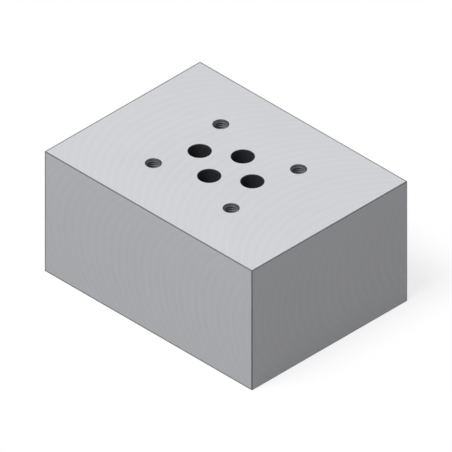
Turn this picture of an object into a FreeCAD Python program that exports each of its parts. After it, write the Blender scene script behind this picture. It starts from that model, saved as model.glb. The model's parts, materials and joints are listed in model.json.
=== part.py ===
import FreeCAD, Part
import os
from math import radians, tan

from FreeCAD import Placement, Rotation, Vector

# Hydraulic manifold block for one directional valve, machined from one bar of aluminium.
# Lengths are in millimetres. X runs along the block, Y across it and Z up. The origin is the
# centre of the base. The valve sits on the top face. The front face (-Y) and the right end (+X)
# are plain. Ports P and T open on the left end (-X), and ports A and B on the back face (+Y).
# Every gallery is drilled from its own port, so the block needs no plugs.

# Block
block_length = 100.0
block_width = 75.0
block_height = 50.0
edge_radius = 0.25

# Drills
drill_point_angle = 118.0
drill_overrun = 2.0  # how far a drilling runs past the axis of the one that it meets
mouth_overshoot = 2.0  # how far a cutter starts outside the face that it enters

# Valve ports in the top face: A and B lie along the block, P and T across it
port_a_to_b = 25.4
port_p_to_t = 16.2
valve_port_diameter = 8.0
valve_port_chamfer = 0.2

# Valve screws, M5, at the corners of a rectangle around the valve ports
valve_screw_pitch_x = 37.5
valve_screw_pitch_y = 32.5
valve_thread_diameter = 5.0
valve_thread_length = 12.0
valve_pilot_diameter = 4.2
valve_pilot_depth = 14.0
valve_countersink_diameter = 5.9

# Service ports, a quarter-inch parallel pipe thread in a spotface
service_thread_diameter = 13.157
service_thread_length = 12.0
service_pilot_diameter = 11.8
service_pilot_depth = 15.5
service_mouth_diameter = 14.2
spotface_diameter = 20.0
spotface_depth = 1.0
spotface_land = 2.0  # metal left between the spotfaces of P and T
gallery_diameter = 9.0
gallery_depth_a_b = 20.0  # below the valve face
gallery_height_p_t = 14.0  # above the base

# Fixing screws, M8, in the base
fixing_inset = 12.5  # from the sides of the block to the screws
fixing_thread_diameter = 8.0
fixing_thread_length = 12.0
fixing_pilot_diameter = 6.8
fixing_pilot_depth = 15.0
fixing_countersink_diameter = 8.8

# Places that follow from the sizes above
half_length = block_length / 2
half_width = block_width / 2
port_x = port_a_to_b / 2
port_y = port_p_to_t / 2
gallery_y = (spotface_diameter + spotface_land) / 2
gallery_height_a_b = block_height - gallery_depth_a_b

DOWN = Vector(0, 0, -1)
UP = Vector(0, 0, 1)
FROM_LEFT = Vector(1, 0, 0)
FROM_BACK = Vector(0, -1, 0)


def turned_hole(stations, mouth, direction):
    """A round hole from (diameter, depth) stations, opening at mouth and ending in a drill point."""
    first_diameter = stations[0][0]
    last_diameter, last_depth = stations[-1]
    point_length = last_diameter / 2 / tan(radians(drill_point_angle / 2))
    outline = [Vector(0, 0, -mouth_overshoot), Vector(first_diameter / 2, 0, -mouth_overshoot)]
    outline += [Vector(diameter / 2, 0, depth) for diameter, depth in stations]
    outline += [Vector(0, 0, last_depth + point_length)]
    section = Part.Face(Part.makePolygon(outline + outline[:1]))
    hole = section.revolve(Vector(0, 0, 0), Vector(0, 0, 1), 360)
    hole.Placement = Placement(mouth, Rotation(Vector(0, 0, 1), direction))
    return hole


def tapped_stations(mouth_diameter, thread_diameter, thread_length, pilot_diameter, pilot_depth):
    """A countersunk tapped hole: the thread at its full diameter, then the tapping drill's hole."""
    countersink_depth = (mouth_diameter - thread_diameter) / 2
    return [
        (mouth_diameter, 0),
        (thread_diameter, countersink_depth),
        (thread_diameter, thread_length),
        (pilot_diameter, thread_length),
        (pilot_diameter, pilot_depth),
    ]


def corners(pitch_x, pitch_y, height):
    """The corners of a rectangle centred on the block."""
    return [
        Vector(x, y, height)
        for x in (-pitch_x / 2, pitch_x / 2)
        for y in (-pitch_y / 2, pitch_y / 2)
    ]


def valve_port(x, y, gallery_height):
    """A port drilled down from the valve face into its gallery."""
    depth = block_height - gallery_height + drill_overrun
    stations = [
        (valve_port_diameter + 2 * valve_port_chamfer, 0),
        (valve_port_diameter, valve_port_chamfer),
        (valve_port_diameter, depth),
    ]
    return turned_hole(stations, Vector(x, y, block_height), DOWN)


def service_port(mouth, direction, reach):
    """A threaded port in its spotface, with a gallery that ends at depth reach."""
    thread = tapped_stations(
        service_mouth_diameter,
        service_thread_diameter,
        service_thread_length,
        service_pilot_diameter,
        service_pilot_depth,
    )
    drill_step = (service_pilot_diameter - gallery_diameter) / 2 / tan(radians(drill_point_angle / 2))
    stations = [(spotface_diameter, 0), (spotface_diameter, spotface_depth)]
    stations += [(diameter, spotface_depth + depth) for diameter, depth in thread]
    stations += [
        (gallery_diameter, spotface_depth + service_pilot_depth + drill_step),
        (gallery_diameter, reach),
    ]
    return turned_hole(stations, mouth, direction)


def valve_ports():
    """P, T, A and B in the valve face."""
    return [
        valve_port(0, -port_y, gallery_height_p_t),
        valve_port(0, port_y, gallery_height_p_t),
        valve_port(-port_x, 0, gallery_height_a_b),
        valve_port(port_x, 0, gallery_height_a_b),
    ]


def service_ports():
    """P and T in the left end, and A and B in the back face."""
    p_and_t = [
        service_port(Vector(-half_length, y, gallery_height_p_t), FROM_LEFT, half_length + drill_overrun)
        for y in (-gallery_y, gallery_y)
    ]
    a_and_b = [
        service_port(Vector(x, half_width, gallery_height_a_b), FROM_BACK, half_width + drill_overrun)
        for x in (-port_x, port_x)
    ]
    return p_and_t + a_and_b


def valve_screw_holes():
    stations = tapped_stations(
        valve_countersink_diameter,
        valve_thread_diameter,
        valve_thread_length,
        valve_pilot_diameter,
        valve_pilot_depth,
    )
    mouths = corners(valve_screw_pitch_x, valve_screw_pitch_y, block_height)
    return [turned_hole(stations, mouth, DOWN) for mouth in mouths]


def fixing_screw_holes():
    stations = tapped_stations(
        fixing_countersink_diameter,
        fixing_thread_diameter,
        fixing_thread_length,
        fixing_pilot_diameter,
        fixing_pilot_depth,
    )
    mouths = corners(block_length - 2 * fixing_inset, block_width - 2 * fixing_inset, 0)
    return [turned_hole(stations, mouth, UP) for mouth in mouths]


def manifold_block():
    """The milled bar with its edges rounded off, then drilled and tapped."""
    corner = Vector(-half_length, -half_width, 0)
    bar = Part.makeBox(block_length, block_width, block_height, corner)
    bar = bar.makeFillet(edge_radius, bar.Edges)
    return bar.cut(valve_ports() + service_ports() + valve_screw_holes() + fixing_screw_holes())


os.makedirs("parts", exist_ok=True)
manifold_block().exportStep("parts/manifold_block.step")
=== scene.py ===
import json
from math import ceil, cos, pi, radians, sin

import bmesh
import bpy
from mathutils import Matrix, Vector


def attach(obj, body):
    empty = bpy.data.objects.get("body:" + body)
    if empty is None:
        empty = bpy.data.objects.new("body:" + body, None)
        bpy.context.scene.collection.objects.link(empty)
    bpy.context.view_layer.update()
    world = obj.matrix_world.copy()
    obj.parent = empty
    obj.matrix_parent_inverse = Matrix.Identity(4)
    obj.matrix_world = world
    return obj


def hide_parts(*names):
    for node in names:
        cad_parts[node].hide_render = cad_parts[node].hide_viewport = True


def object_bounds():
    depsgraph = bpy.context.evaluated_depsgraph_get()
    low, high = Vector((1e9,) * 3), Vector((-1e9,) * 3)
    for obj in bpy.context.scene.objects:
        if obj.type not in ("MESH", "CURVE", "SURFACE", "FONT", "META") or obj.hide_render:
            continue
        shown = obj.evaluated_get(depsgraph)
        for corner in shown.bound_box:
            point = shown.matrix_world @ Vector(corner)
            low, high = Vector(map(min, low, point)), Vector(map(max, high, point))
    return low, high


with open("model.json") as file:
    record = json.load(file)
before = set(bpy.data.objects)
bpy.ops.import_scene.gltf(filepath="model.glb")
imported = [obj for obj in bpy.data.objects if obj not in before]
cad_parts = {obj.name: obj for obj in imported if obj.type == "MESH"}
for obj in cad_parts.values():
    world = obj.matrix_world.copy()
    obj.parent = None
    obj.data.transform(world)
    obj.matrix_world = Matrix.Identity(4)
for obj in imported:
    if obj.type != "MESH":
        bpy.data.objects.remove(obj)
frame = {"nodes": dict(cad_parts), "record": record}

cad_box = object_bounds()

# A hydraulic manifold block, machined from one bar of pale aluminium. Lengths are in metres.

# Sizes of the block that the frame doesn't state
EDGE_RADIUS = 0.00025
VALVE_PORT_MOUTH = 0.0042  # radius
SPOTFACE_RADIUS = 0.010
SPOTFACE_DEPTH = 0.001
THREAD_LENGTH = 0.012
DRILL_REACH = 0.006  # how far past a screw's thread its tapping drill's hole can run
TINY = 2e-6  # points nearer than this are one point
SHARP_ANGLE = 25.0  # degrees: a crease sharper than this isn't smoothed over

# Colours
PALE_ALUMINIUM = (0.645, 0.651, 0.680)
TURNED_ALUMINIUM = (0.66, 0.665, 0.69)
WORN_RIM = (0.22, 0.22, 0.225)
WORN_EDGE = (0.18, 0.18, 0.185)
PORT_THREAD = (0.50, 0.505, 0.52)
# Painted shade: the screw threads are a darker grey than the aluminium they are cut in, standing in for the
# shade in the screw holes
SCREW_THREAD_SHADE = (0.30, 0.297, 0.32)
# Painted shade: a screw hole's mouth, where more light falls, is painted darker to even out the hole's tone
SCREW_MOUTH_SHADE = (0.064, 0.063, 0.071)
# Painted shade: the valve ports' bores are near-black, standing in for the shade deep inside them
PAINTED_BORE_SHADE = (0.049, 0.048, 0.055)
DRILLED = (0.20, 0.20, 0.21)

# Cutter marks on the milled faces
WIDE_CUTTER = 0.050  # radius
NARROW_CUTTER = 0.0315
FINE_MARKS = 0.0011  # from one mark to the next
COARSE_MARKS = 0.0037
MARK_DRIFT = 0.0006  # how far a mark strays from its arc
SPOTFACE_RINGS = 0.00042  # from one ring to the next

# Finish
METALLIC = 0.10
GLOSS_SPREAD = 0.05  # how far roughness strays from its mean
RIM_WEAR = 0.0003  # how far wear reaches in from an edge
END_WEAR = 0.0001  # the same on the two ends, which are handled less
WEAR_SHIFT = 0.00015  # how much further in it reaches from the left, back and lower edges of a face
RAGGED_WEAR = 0.3  # how much of the wear's reach comes and goes, as a share
SCREW_MOUTH_SHADE_DEPTH = 0.003  # how far the painted shade at a screw hole's mouth reaches down

# Camera and light
PICTURE_WIDTH = 0.1541
CAMERA_AZIMUTH = 45.0
CAMERA_ELEVATION = 35.264
CAMERA_DISTANCE = 0.6
SUN_FROM = (-0.05, -0.414, 0.909)
SUN_STRENGTH = 0.750  # light on a face square to it, as a share of white
SUN_SOFTNESS = 25.0  # degrees across
SKY_STRENGTH = 0.264
FLOOR_COLOUR = 0.14  # for the light that the floor throws back on the block
FLOOR_WHITE = 1.02  # for what the camera sees
FLOOR_HALF_WIDTH = 4.0
SHADOW_DEPTH = 0.25  # how much of the floor's look comes from the light on it

DOWN = Vector((0, 0, -1))
UP = Vector((0, 0, 1))
FROM_LEFT = Vector((1, 0, 0))
FROM_BACK = Vector((0, -1, 0))


# Where the holes are, from the record's mounts

MOUNTS = {mount["name"]: mount for mount in frame["record"]["mounts"]}


def size_of(name, key):
    """A mount's dimension, in metres."""
    return MOUNTS[name]["dims"][key] / 1000


def rectangle_mouths(name):
    """The four hole mouths of a rectangular screw pattern."""
    half_x = size_of(name, "spacing_x_mm") / 2
    half_y = size_of(name, "spacing_y_mm") / 2
    centre = Vector(MOUNTS[name]["pos_m"])
    return [centre + Vector((x, y, 0)) for x in (-half_x, half_x) for y in (-half_y, half_y)]


def outer_mouth(name):
    """Where a hole's axis meets the outer face that it opens through."""
    mouth = Vector(MOUNTS[name]["pos_m"])
    low, high = cad_box
    for i, along in enumerate(MOUNTS[name]["axis"]):
        if along:
            mouth[i] = high[i] if along > 0 else low[i]
    return mouth


class TappedHoles:
    """Equal tapped holes: where they open, which way they go and how their thread is cut."""

    def __init__(self, name, mouths, into, thread, countersink, crest, pitch, sunk=0.0):
        self.name = name
        self.mouths = mouths
        self.into = into
        self.thread = thread  # radius at the bottom of the groove
        self.countersink = countersink  # radius at the mouth
        self.crest = crest  # radius at the ridge
        self.pitch = pitch
        self.sunk = sunk  # depth of the face that the hole opens in
        self.start = sunk + countersink - thread
        self.end = sunk + THREAD_LENGTH


def service_ports(name, letters, into):
    """Two ports with a quarter-inch parallel pipe thread, each in a spotface."""
    return TappedHoles(
        name,
        [outer_mouth("service_port_" + letter) for letter in letters],
        into,
        thread=size_of("service_port_" + letters[0], "r_mm"),
        countersink=0.0071,
        crest=0.0059,
        pitch=0.001337,
        sunk=SPOTFACE_DEPTH,
    )


VALVE_SCREWS = TappedHoles(
    "valve_screw_threads",
    rectangle_mouths("valve_screws"),
    DOWN,
    thread=size_of("valve_screws", "hole_r_mm"),
    countersink=0.00295,
    crest=0.0021,
    pitch=0.0008,
)
FIXING_SCREWS = TappedHoles(
    "fixing_screw_threads",
    rectangle_mouths("fixing_screws"),
    UP,
    thread=size_of("fixing_screws", "hole_r_mm"),
    countersink=0.0044,
    crest=0.0034,
    pitch=0.00125,
)
PORTS_P_T = service_ports("p_t_port_threads", "pt", FROM_LEFT)
PORTS_A_B = service_ports("a_b_port_threads", "ab", FROM_BACK)
VALVE_PORT_MOUTHS = [outer_mouth("valve_port_" + letter) for letter in "ptab"]


class Graph:
    """A node tree that is put together from its first nodes to its output."""

    def __init__(self, tree):
        self.tree = tree

    def add(self, kind, inputs=None, **settings):
        node = self.tree.nodes.new(kind)
        for key, value in settings.items():
            setattr(node, key, value)
        for key, value in (inputs or {}).items():
            self.put(node.inputs[key], value)
        return node

    def put(self, socket, value):
        if isinstance(value, bpy.types.NodeSocket):
            self.tree.links.new(value, socket)
        else:
            socket.default_value = value

    def math(self, operation, *values):
        node = self.add("ShaderNodeMath", operation=operation)
        for socket, value in zip(node.inputs, values):
            self.put(socket, value)
        return node.outputs[0]


# Threads, made by Geometry Nodes

THREAD_INPUTS = {
    "Mouths": "NodeSocketGeometry",
    "Into": "NodeSocketVector",
    "First Corner": "NodeSocketVector",
    "Countersink Radius": "NodeSocketFloat",
    "Thread Radius": "NodeSocketFloat",
    "Crest Radius": "NodeSocketFloat",
    "Pitch": "NodeSocketFloat",
    "Start": "NodeSocketFloat",
    "End": "NodeSocketFloat",
    "Sunk": "NodeSocketFloat",
    "Turns": "NodeSocketInt",
    "Sides": "NodeSocketInt",
    "Material": "NodeSocketMaterial",
}

# One turn of the thread, as shares of its pitch: the groove's floor, a flank, the ridge's top, a flank
GROOVE_FLOOR = 1 / 8
FLANK = 5 / 16
RIDGE_TOP = 1 / 4


def wound_position(g, given, rows):
    """Where each point of a flat grid goes when the grid is wound into a threaded sleeve."""
    place = g.add("ShaderNodeSeparateXYZ", {0: g.add("GeometryNodeInputPosition").outputs[0]}).outputs
    column = g.math("ROUND", g.math("MULTIPLY_ADD", given["Sides"], 0.5, place["X"]))
    row = g.math("ROUND", g.math("MULTIPLY_ADD", rows, 0.5, place["Y"]))
    turn = g.math("DIVIDE", column, given["Sides"])

    # Four rows make one turn: the two corners of the groove and the two corners of the ridge
    corner = g.math("MODULO", row, 4.0)
    whole_turns = g.math("FLOOR", g.math("DIVIDE", g.math("ADD", row, 0.5), 4.0))
    part_turn = g.math("MULTIPLY", g.math("GREATER_THAN", corner, 0.5), GROOVE_FLOOR)
    part_turn = g.math("MULTIPLY_ADD", g.math("GREATER_THAN", corner, 1.5), FLANK, part_turn)
    part_turn = g.math("MULTIPLY_ADD", g.math("GREATER_THAN", corner, 2.5), RIDGE_TOP, part_turn)
    turns_down = g.math("SUBTRACT", g.math("ADD", g.math("ADD", whole_turns, part_turn), turn), 1.0)
    free_depth = g.math("MULTIPLY_ADD", turns_down, given["Pitch"], given["Start"])
    depth = g.math("MINIMUM", g.math("MAXIMUM", free_depth, given["Start"]), given["End"])

    # The ridge stands in from the groove, and the countersink cuts its first turn back
    past_start = g.math("GREATER_THAN", free_depth, given["Start"])
    before_end = g.math("LESS_THAN", free_depth, given["End"])
    within = g.math("MULTIPLY", past_start, before_end)
    on_ridge = g.math("MULTIPLY", within, g.math("GREATER_THAN", corner, 1.5))
    height = g.math("SUBTRACT", given["Thread Radius"], given["Crest Radius"])
    radius = g.math("SUBTRACT", given["Thread Radius"], g.math("MULTIPLY", on_ridge, height))
    cone = g.math("SUBTRACT", given["Countersink Radius"], g.math("SUBTRACT", depth, given["Sunk"]))
    radius = g.math("MAXIMUM", radius, g.math("MINIMUM", cone, given["Thread Radius"]))

    angle = g.math("MULTIPLY", turn, radians(360))
    across = g.math("MULTIPLY", radius, g.math("COSINE", angle))
    up = g.math("MULTIPLY", radius, g.math("SINE", angle))
    return g.add("ShaderNodeCombineXYZ", {"X": across, "Y": up, "Z": depth}).outputs[0]


def thread_tree():
    """A right-hand thread for each mouth, as a sleeve that fits the plain wall's corners at both ends."""
    tree = bpy.data.node_groups.new("tapped_thread", "GeometryNodeTree")
    sockets = {
        name: tree.interface.new_socket(name, in_out="INPUT", socket_type=kind)
        for name, kind in THREAD_INPUTS.items()
    }
    tree.interface.new_socket("Threads", in_out="OUTPUT", socket_type="NodeSocketGeometry")
    g = Graph(tree)
    given = g.add("NodeGroupInput").outputs
    rows = g.math("MULTIPLY", given["Turns"], 4.0)
    grid = g.add(
        "GeometryNodeMeshGrid",
        {
            "Size X": given["Sides"],
            "Size Y": rows,
            "Vertices X": g.math("ADD", given["Sides"], 1.0),
            "Vertices Y": g.math("ADD", rows, 1.0),
        },
    )
    wound = g.add(
        "GeometryNodeSetPosition",
        {"Geometry": grid.outputs["Mesh"], "Position": wound_position(g, given, rows)},
    )
    sleeve = g.add("GeometryNodeMergeByDistance", {"Geometry": wound.outputs[0], "Distance": TINY})
    turned = g.add(
        "FunctionNodeAxesToRotation",
        {0: given["Into"], 1: given["First Corner"]},
        primary_axis="Z",
        secondary_axis="X",
    )
    copies = g.add(
        "GeometryNodeInstanceOnPoints",
        {"Points": given["Mouths"], "Instance": sleeve.outputs[0], "Rotation": turned.outputs[0]},
    )
    real = g.add("GeometryNodeRealizeInstances", {"Geometry": copies.outputs[0]})
    dressed = g.add("GeometryNodeSetMaterial", {"Geometry": real.outputs[0], "Material": given["Material"]})
    g.add("NodeGroupOutput", {"Threads": dressed.outputs[0]})
    return tree, sockets


THREAD_TREE, THREAD_SOCKETS = thread_tree()


def cut_threads(holes, sides, first_corner, material):
    """A plain mesh of the threads in a group of equal tapped holes."""
    points = bpy.data.meshes.new(holes.name)
    points.from_pydata([mouth[:] for mouth in holes.mouths], [], [])
    carrier = bpy.data.objects.new(holes.name, points)
    bpy.context.scene.collection.objects.link(carrier)
    modifier = carrier.modifiers.new("threads", "NODES")
    modifier.node_group = THREAD_TREE
    given = {
        "Into": holes.into[:],
        "First Corner": first_corner[:],
        "Countersink Radius": holes.countersink,
        "Thread Radius": holes.thread,
        "Crest Radius": holes.crest,
        "Pitch": holes.pitch,
        "Start": holes.start,
        "End": holes.end,
        "Sunk": holes.sunk,
        "Turns": ceil((holes.end - holes.start) / holes.pitch) + 2,
        "Sides": sides,
        "Material": material,
    }
    for name, value in given.items():
        modifier[THREAD_SOCKETS[name].identifier] = value
    evaluated = carrier.evaluated_get(bpy.context.evaluated_depsgraph_get())
    mesh = bpy.data.meshes.new_from_object(evaluated)
    bpy.data.objects.remove(carrier)
    return mesh


# Finishes


def new_material(name):
    material = bpy.data.materials.new(name)
    material.use_nodes = True
    material.node_tree.nodes.clear()
    return material, Graph(material.node_tree)


def opaque(colour, brightness=1.0):
    return tuple(channel * brightness for channel in colour) + (1.0,)


def mixed(g, amount, first, second):
    """First where amount is 0, second where it is 1."""
    # A mix node's colours go in at 6 and 7 and come out at 2
    return g.add("ShaderNodeMix", {"Factor": amount, 6: first, 7: second}, data_type="RGBA").outputs[2]


def finish_metal(g, tone, pattern, roughness, relief, relief_depth, metallic=METALLIC, specular=0.5):
    """The metal shader, with its gloss and its relief taken from one pattern between 0 and 1."""
    gloss = g.add(
        "ShaderNodeMapRange",
        {"Value": pattern, "To Min": roughness + GLOSS_SPREAD, "To Max": roughness - GLOSS_SPREAD},
    )
    bump = g.add("ShaderNodeBump", {"Height": pattern, "Strength": relief, "Distance": relief_depth})
    shader = g.add(
        "ShaderNodeBsdfPrincipled",
        {
            "Base Color": tone,
            "Roughness": gloss.outputs[0],
            "Normal": bump.outputs[0],
            "Metallic": metallic,
            "Specular IOR Level": specular,
        },
    )
    g.add("ShaderNodeOutputMaterial", {"Surface": shader.outputs[0]})


def object_place(g):
    """Object coordinates, whole and one by one."""
    coordinates = g.add("ShaderNodeTexCoord").outputs["Object"]
    return coordinates, g.add("ShaderNodeSeparateXYZ", {0: coordinates}).outputs


def noise(g, vector, scale, detail=2.0, roughness=0.5):
    given = {"Vector": vector, "Scale": scale, "Detail": detail, "Roughness": roughness}
    return g.add("ShaderNodeTexNoise", given).outputs[0]


def wave(g, length, pitch):
    """0 to 1 and back once in each pitch."""
    sine = g.math("SINE", g.math("MULTIPLY", length, radians(360) / pitch))
    return g.math("MULTIPLY_ADD", sine, 0.5, 0.5)


def weighted(g, *layers):
    """The sum of pairs of (layer, weight). The weights add up to 1."""
    total = 0.0
    for layer, weight in layers:
        total = g.math("MULTIPLY_ADD", layer, weight, total)
    return total


def off_centre(g, place, axis):
    """How far a point is from the middle of the block along one axis, with its sign."""
    low, high = cad_box
    i = "XYZ".index(axis)
    return g.math("SUBTRACT", place[axis], (high[i] + low[i]) / 2)


def away_from_rim(g, coordinates, place, wear, shifts):
    """0 at the rim of an outer face and 1 where its wear ends. Shifts move the part that isn't worn."""
    low, high = cad_box
    nearest = 1.0
    for axis, shift in shifts.items():
        i = "XYZ".index(axis)
        flat_half = (high[i] - low[i]) / 2 - EDGE_RADIUS
        sideways = g.math("SUBTRACT", off_centre(g, place, axis), shift)
        nearest = g.math("MINIMUM", g.math("SUBTRACT", flat_half, g.math("ABSOLUTE", sideways)), nearest)
    ragged = g.math("MULTIPLY_ADD", noise(g, coordinates, 300.0), -RAGGED_WEAR * wear, nearest)
    clean = g.add(
        "ShaderNodeMapRange",
        {"Value": ragged, "From Max": wear},
        interpolation_type="SMOOTHSTEP",
    )
    return clean.outputs[0]


def milled(name, along, across, cutter, spread=0.10, wear=RIM_WEAR, shift_along=0.0, shift_across=0.0):
    """A milled face: the arcs that a face cutter leaves on its way along the face, and wear at the rim."""
    material, g = new_material(name)
    coordinates, place = object_place(g)
    sideways = off_centre(g, place, across)
    reach = g.math("SQRT", g.math("SUBTRACT", cutter**2, g.math("POWER", sideways, 2.0)))
    drift = g.math("MULTIPLY", noise(g, coordinates, 60.0), MARK_DRIFT)
    leading = g.math("ADD", g.math("ADD", place[along], reach), drift)
    trailing = g.math("ADD", g.math("SUBTRACT", place[along], reach), drift)
    strokes = g.add(
        "ShaderNodeCombineXYZ",
        {"X": g.math("MULTIPLY", leading, 1400.0), "Y": g.math("MULTIPLY", sideways, 60.0)},
    )
    pattern = weighted(
        g,
        (wave(g, leading, FINE_MARKS), 0.18),
        (wave(g, leading, COARSE_MARKS), 0.12),
        (wave(g, trailing, FINE_MARKS), 0.05),
        (noise(g, strokes.outputs[0], 1.0, 3.0, 0.6), 0.33),
        (noise(g, coordinates, 90.0, 3.0), 0.18),
        (noise(g, coordinates, 2600.0, 1.0), 0.14),
    )
    tone = mixed(g, pattern, opaque(PALE_ALUMINIUM, 1 - spread), opaque(PALE_ALUMINIUM, 1 + spread))
    clean = away_from_rim(g, coordinates, place, wear, {along: shift_along, across: shift_across})
    tone = mixed(g, clean, opaque(WORN_RIM), tone)
    finish_metal(g, tone, pattern, roughness=0.50, relief=0.15, relief_depth=0.00002)
    return material


def turned(name, ports):
    """A spotface: fine rings round the axis of its port. The two ports of a pair mirror each other."""
    material, g = new_material(name)
    coordinates, place = object_place(g)
    mouth = ports.mouths[0]
    squares = [
        g.math("POWER", g.math("SUBTRACT", g.math("ABSOLUTE", place[axis]), abs(mouth[i])), 2.0)
        for i, axis in enumerate("XYZ")
        if not ports.into[i]
    ]
    distance = g.math("SQRT", g.math("ADD", *squares))
    pattern = weighted(g, (wave(g, distance, SPOTFACE_RINGS), 0.6), (noise(g, coordinates, 1500.0), 0.4))
    tone = mixed(g, pattern, opaque(TURNED_ALUMINIUM, 0.94), opaque(TURNED_ALUMINIUM, 1.06))
    finish_metal(g, tone, pattern, roughness=0.40, relief=0.3, relief_depth=0.00003)
    return material


def plain_metal(name, colour, spread, roughness, grain, mouth_shade=None, **gloss):
    """Metal with a fine mottle. Given a mouth colour, it is painted that darker colour where it meets the
    valve face: painted shade at a hole's mouth.
    """
    material, g = new_material(name)
    coordinates, place = object_place(g)
    pattern = noise(g, coordinates, grain, 3.0)
    tone = mixed(g, pattern, opaque(colour, 1 - spread), opaque(colour, 1 + spread))
    # Painted shade: darker near the valve face, fading out deeper down
    if mouth_shade:
        depth = g.math("SUBTRACT", cad_box[1][2], place["Z"])
        deep = g.add(
            "ShaderNodeMapRange",
            {"Value": depth, "From Max": SCREW_MOUTH_SHADE_DEPTH},
            interpolation_type="SMOOTHSTEP",
        )
        tone = mixed(g, deep.outputs[0], opaque(mouth_shade), tone)
    finish_metal(g, tone, pattern, roughness, relief=0.2, relief_depth=0.00002, **gloss)
    return material


# The block

FINISHES = {
    "valve_face": milled(
        "milled_valve_face", "X", "Y", WIDE_CUTTER, shift_along=WEAR_SHIFT, shift_across=-WEAR_SHIFT
    ),
    "side": milled(
        "milled_side", "X", "Z", NARROW_CUTTER, shift_along=WEAR_SHIFT, shift_across=WEAR_SHIFT
    ),
    "end": milled("milled_end", "Y", "Z", NARROW_CUTTER, wear=END_WEAR),
    "base": milled("milled_base", "X", "Y", WIDE_CUTTER, spread=0.05),
    "edge": plain_metal(
        "deburred_edge", WORN_EDGE, spread=0.15, roughness=0.60, grain=900.0, metallic=0.0, specular=0.05
    ),
    "spotface_p_t": turned("turned_spotface_p_t", PORTS_P_T),
    "spotface_a_b": turned("turned_spotface_a_b", PORTS_A_B),
    "port_thread": plain_metal("cut_port_thread", PORT_THREAD, spread=0.12, roughness=0.38, grain=1400.0),
    # The screw threads are painted darker than the metal, as painted shade in the screw holes
    "screw_thread": plain_metal(
        "cut_screw_thread_painted_shade",
        SCREW_THREAD_SHADE,
        spread=0.12,
        roughness=0.45,
        grain=1800.0,
        mouth_shade=SCREW_MOUTH_SHADE,
        metallic=0.0,
        specular=0.2,
    ),
    # The valve ports' bores: near-black painted shade
    "bore": plain_metal(
        "valve_bore_painted_shade", PAINTED_BORE_SHADE, spread=0.25, roughness=0.50, grain=700.0, metallic=0.0, specular=0.15
    ),
    "drilled": plain_metal("drilled_gallery", DRILLED, spread=0.20, roughness=0.45, grain=700.0),
}
FINISH_NAMES = list(FINISHES)


def on_axis(point, mouth, into):
    """A point's depth below a hole's mouth, and the way to it from the hole's axis."""
    away = point - mouth
    depth = away.dot(into)
    return depth, away - depth * into


def outer_face(facet):
    """The finish of the outer face that this facet belongs to, or None."""
    low, high = cad_box
    for axis, side, finish in (
        (2, high, "valve_face"),
        (2, low, "base"),
        (1, low, "side"),
        (1, high, "side"),
        (0, low, "end"),
        (0, high, "end"),
    ):
        if all(abs(vertex.co[axis] - side[axis]) < TINY for vertex in facet.verts):
            return finish
    return None


def on_rounded_edge(facet):
    """True if each corner of the facet is within the rounding of two outer faces."""
    low, high = cad_box
    near = EDGE_RADIUS + TINY
    for vertex in facet.verts:
        close = [vertex.co[i] - low[i] < near or high[i] - vertex.co[i] < near for i in range(3)]
        if sum(close) < 2:
            return False
    return True


def inner_finish(facet):
    """The finish of a facet inside a hole."""
    centre = facet.calc_center_median()
    for ports, spotface in ((PORTS_P_T, "spotface_p_t"), (PORTS_A_B, "spotface_a_b")):
        for mouth in ports.mouths:
            depth, away = on_axis(centre, mouth, ports.into)
            if depth < SPOTFACE_DEPTH + TINY and away.length < SPOTFACE_RADIUS + TINY:
                return spotface
            if depth < ports.end and away.length < ports.countersink:
                return "port_thread"
    for screws in (VALVE_SCREWS, FIXING_SCREWS):
        for mouth in screws.mouths:
            depth, away = on_axis(centre, mouth, screws.into)
            if depth < screws.end + DRILL_REACH and away.length < screws.countersink + TINY:
                return "screw_thread"
    for mouth in VALVE_PORT_MOUTHS:
        if on_axis(centre, mouth, DOWN)[1].length < VALVE_PORT_MOUTH + TINY:
            return "bore"
    return "drilled"


def on_thread_wall(facet, holes):
    """True if the facet is on the plain wall that a thread takes the place of."""
    for mouth in holes.mouths:
        places = [on_axis(vertex.co, mouth, holes.into) for vertex in facet.verts]
        if all(
            holes.start - TINY < depth < holes.end + TINY and abs(away.length - holes.thread) < TINY
            for depth, away in places
        ):
            return True
    return False


def wall_corners(bm, holes):
    """How many sides the plain wall of a tapped hole has, and the way from its axis to one corner."""
    corners = []
    for vertex in bm.verts:
        depth, away = on_axis(vertex.co, holes.mouths[0], holes.into)
        if abs(depth - holes.start) < TINY and abs(away.length - holes.thread) < TINY:
            corners.append(away.normalized())
    return len(corners), corners[0]


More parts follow.
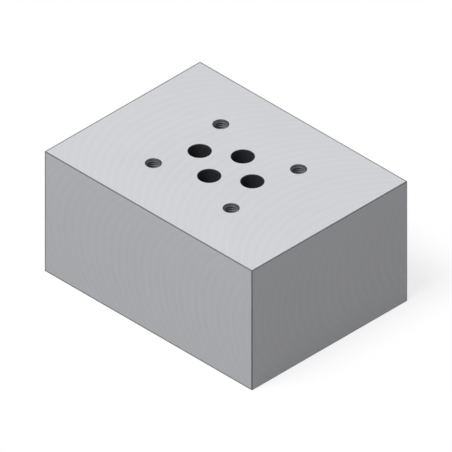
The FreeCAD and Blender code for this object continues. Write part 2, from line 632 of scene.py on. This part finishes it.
def machined_block():
    """The block with its faces, edges and holes told apart and its threads cut."""
    tapped = (
        (VALVE_SCREWS, "screw_thread"),
        (FIXING_SCREWS, "screw_thread"),
        (PORTS_P_T, "port_thread"),
        (PORTS_A_B, "port_thread"),
    )
    bm = bmesh.new()
    bm.from_mesh(frame["nodes"]["manifold_block"].data)
    bmesh.ops.remove_doubles(bm, verts=bm.verts, dist=TINY)
    corners = [wall_corners(bm, holes) for holes, _ in tapped]
    plain_walls = []
    for facet in bm.faces:
        if any(on_thread_wall(facet, holes) for holes, _ in tapped):
            plain_walls.append(facet)
            continue
        finish = outer_face(facet) or ("edge" if on_rounded_edge(facet) else inner_finish(facet))
        facet.material_index = FINISH_NAMES.index(finish)
    bmesh.ops.delete(bm, geom=plain_walls, context="FACES")
    for (holes, finish), (sides, first_corner) in zip(tapped, corners):
        cut = cut_threads(holes, sides, first_corner, FINISHES[finish])
        for facet in cut.polygons:
            facet.material_index = FINISH_NAMES.index(finish)
        bm.from_mesh(cut)
        bpy.data.meshes.remove(cut)
    bmesh.ops.remove_doubles(bm, verts=bm.verts, dist=TINY)
    bmesh.ops.recalc_face_normals(bm, faces=bm.faces)
    for facet in bm.faces:
        facet.smooth = True
    mesh = bpy.data.meshes.new("machined_block")
    bm.to_mesh(mesh)
    bm.free()
    for finish in FINISH_NAMES:
        mesh.materials.append(FINISHES[finish])
    carried_normals = mesh.attributes.get("custom_normal")
    if carried_normals:
        mesh.attributes.remove(carried_normals)
    mesh.set_sharp_from_angle(angle=radians(SHARP_ANGLE))
    block = bpy.data.objects.new("machined_block", mesh)
    bpy.context.scene.collection.objects.link(block)
    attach(block, "root")
    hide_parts("manifold_block")


machined_block()


# Floor, light and camera

WHITE = (1.0, 1.0, 1.0, 1.0)


def seen_directly(g):
    """1 for what the camera sees, also in a reflection, and 0 for the light that falls on things."""
    path = g.add("ShaderNodeLightPath").outputs
    seen = g.math("MAXIMUM", path["Is Camera Ray"], path["Is Glossy Ray"])
    return g.math("MAXIMUM", seen, path["Is Transmission Ray"])


def floor():
    material, g = new_material("pale_floor")
    lit = g.add("ShaderNodeBsdfDiffuse", {"Color": WHITE})
    white = g.add("ShaderNodeEmission", {"Color": WHITE, "Strength": FLOOR_WHITE})
    shown = g.add("ShaderNodeMixShader", {0: SHADOW_DEPTH, 1: white.outputs[0], 2: lit.outputs[0]})
    dull = g.add("ShaderNodeBsdfDiffuse", {"Color": (FLOOR_COLOUR, FLOOR_COLOUR, FLOOR_COLOUR, 1.0)})
    either = g.add("ShaderNodeMixShader", {0: seen_directly(g), 1: dull.outputs[0], 2: shown.outputs[0]})
    g.add("ShaderNodeOutputMaterial", {"Surface": either.outputs[0]})
    half = FLOOR_HALF_WIDTH
    corners = [(-half, -half, 0), (half, -half, 0), (half, half, 0), (-half, half, 0)]
    mesh = bpy.data.meshes.new("floor")
    mesh.from_pydata(corners, [], [(0, 1, 2, 3)])
    mesh.materials.append(material)
    plane = bpy.data.objects.new("floor", mesh)
    bpy.context.scene.collection.objects.link(plane)


def sky():
    world = bpy.data.worlds.new("studio")
    world.use_nodes = True
    world.node_tree.nodes.clear()
    g = Graph(world.node_tree)
    strength = g.add(
        "ShaderNodeMapRange", {"Value": seen_directly(g), "To Min": SKY_STRENGTH, "To Max": 1.0}
    )
    background = g.add("ShaderNodeBackground", {"Color": WHITE, "Strength": strength.outputs[0]})
    g.add("ShaderNodeOutputWorld", {"Surface": background.outputs[0]})
    bpy.context.scene.world = world


def placed(name, data, back):
    """A new camera or lamp that looks against the direction back."""
    holder = bpy.data.objects.new(name, data)
    bpy.context.scene.collection.objects.link(holder)
    holder.rotation_mode = "QUATERNION"
    holder.rotation_quaternion = back.to_track_quat("Z", "Y")
    return holder


def sun():
    # A sun with an energy of pi shows a white face that is square to it as white
    lamp = bpy.data.lights.new("soft_lamp", "SUN")
    lamp.energy = SUN_STRENGTH * pi
    lamp.angle = radians(SUN_SOFTNESS)
    placed("soft_lamp", lamp, Vector(SUN_FROM))


def camera():
    azimuth, elevation = radians(CAMERA_AZIMUTH), radians(CAMERA_ELEVATION)
    back = Vector((sin(azimuth) * cos(elevation), -cos(azimuth) * cos(elevation), sin(elevation)))
    data = bpy.data.cameras.new("camera")
    data.type = "ORTHO"
    data.ortho_scale = PICTURE_WIDTH
    holder = placed("camera", data, back)
    low, high = cad_box
    holder.location = (Vector(low) + Vector(high)) / 2 + back * CAMERA_DISTANCE
    bpy.context.scene.camera = holder


floor()
sky()
sun()
camera()
bpy.context.scene.view_settings.view_transform = "Standard"
